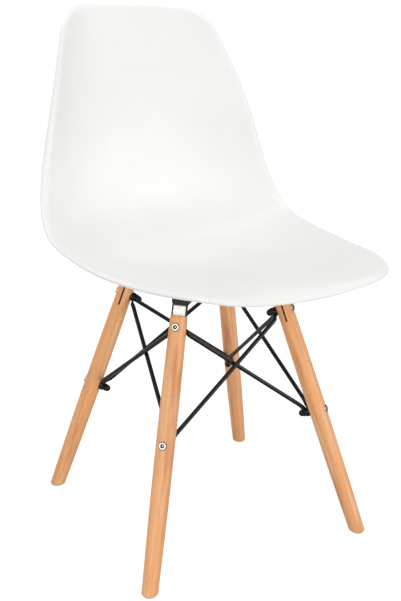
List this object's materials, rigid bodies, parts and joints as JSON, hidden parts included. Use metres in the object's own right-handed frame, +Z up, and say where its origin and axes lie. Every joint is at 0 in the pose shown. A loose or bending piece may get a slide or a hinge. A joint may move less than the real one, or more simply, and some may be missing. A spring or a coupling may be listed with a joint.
{
  "type": "moulded plastic shell chair",
  "caption": "Dining chair: one-piece moulded seat and back shell on splayed turned wooden legs, braced by crossed black wire rods and bolted steel brackets.",
  "frame": {"origin": "on the floor, under the middle of the chair's bounding box", "axes": "+Z up, the sitter faces -Y, the sitter's left is +X"},
  "size_m": [0.4494, 0.5695, 0.8272],
  "materials": {
    "shell_plastic": "satin moulded polypropylene, white",
    "leg_wood": "clear satin lacquer on beech",
    "rod_black": "semi-gloss black powder coat",
    "plated_steel": "bright zinc plate",
    "pad_rubber": "matt black rubber",
    "insert_brass": "plain turned brass",
    "glide_plastic": "translucent pale nylon"
  },
  "bodies": {
    "root": {"seat_shell": "shell_plastic", "threaded_inserts": "insert_brass", "leg_washers": "rod_black", "seat_washers": "plated_steel", "glide_nails": "plated_steel", "front_right_leg": "leg_wood", "front_right_bracket": "plated_steel", "front_right_mount_pad": "pad_rubber", "front_right_seat_screw": "plated_steel", "front_right_glide": "glide_plastic", "front_right_upper_bolt": "plated_steel", "front_right_upper_cap_nut": "rod_black", "front_right_lower_bolt": "plated_steel", "front_right_lower_cap_nut": "rod_black", "front_right_to_front_left_rod": "rod_black", "front_left_to_front_right_rod": "rod_black", "front_left_leg": "leg_wood", "front_left_bracket": "plated_steel", "front_left_mount_pad": "pad_rubber", "front_left_seat_screw": "plated_steel", "front_left_glide": "glide_plastic", "front_left_upper_bolt": "plated_steel", "front_left_upper_cap_nut": "rod_black", "front_left_lower_bolt": "plated_steel", "front_left_lower_cap_nut": "rod_black", "front_left_to_rear_left_rod": "rod_black", "rear_left_to_front_left_rod": "rod_black", "rear_left_leg": "leg_wood", "rear_left_bracket": "plated_steel", "rear_left_mount_pad": "pad_rubber", "rear_left_seat_screw": "plated_steel", "rear_left_glide": "glide_plastic", "rear_left_upper_bolt": "plated_steel", "rear_left_upper_cap_nut": "rod_black", "rear_left_lower_bolt": "plated_steel", "rear_left_lower_cap_nut": "rod_black", "rear_left_to_rear_right_rod": "rod_black", "rear_right_to_rear_left_rod": "rod_black", "rear_right_leg": "leg_wood", "rear_right_bracket": "plated_steel", "rear_right_mount_pad": "pad_rubber", "rear_right_seat_screw": "plated_steel", "rear_right_glide": "glide_plastic", "rear_right_upper_bolt": "plated_steel", "rear_right_upper_cap_nut": "rod_black", "rear_right_lower_bolt": "plated_steel", "rear_right_lower_cap_nut": "rod_black", "rear_right_to_front_right_rod": "rod_black", "front_right_to_rear_right_rod": "rod_black"}
  },
  "joints": []
}
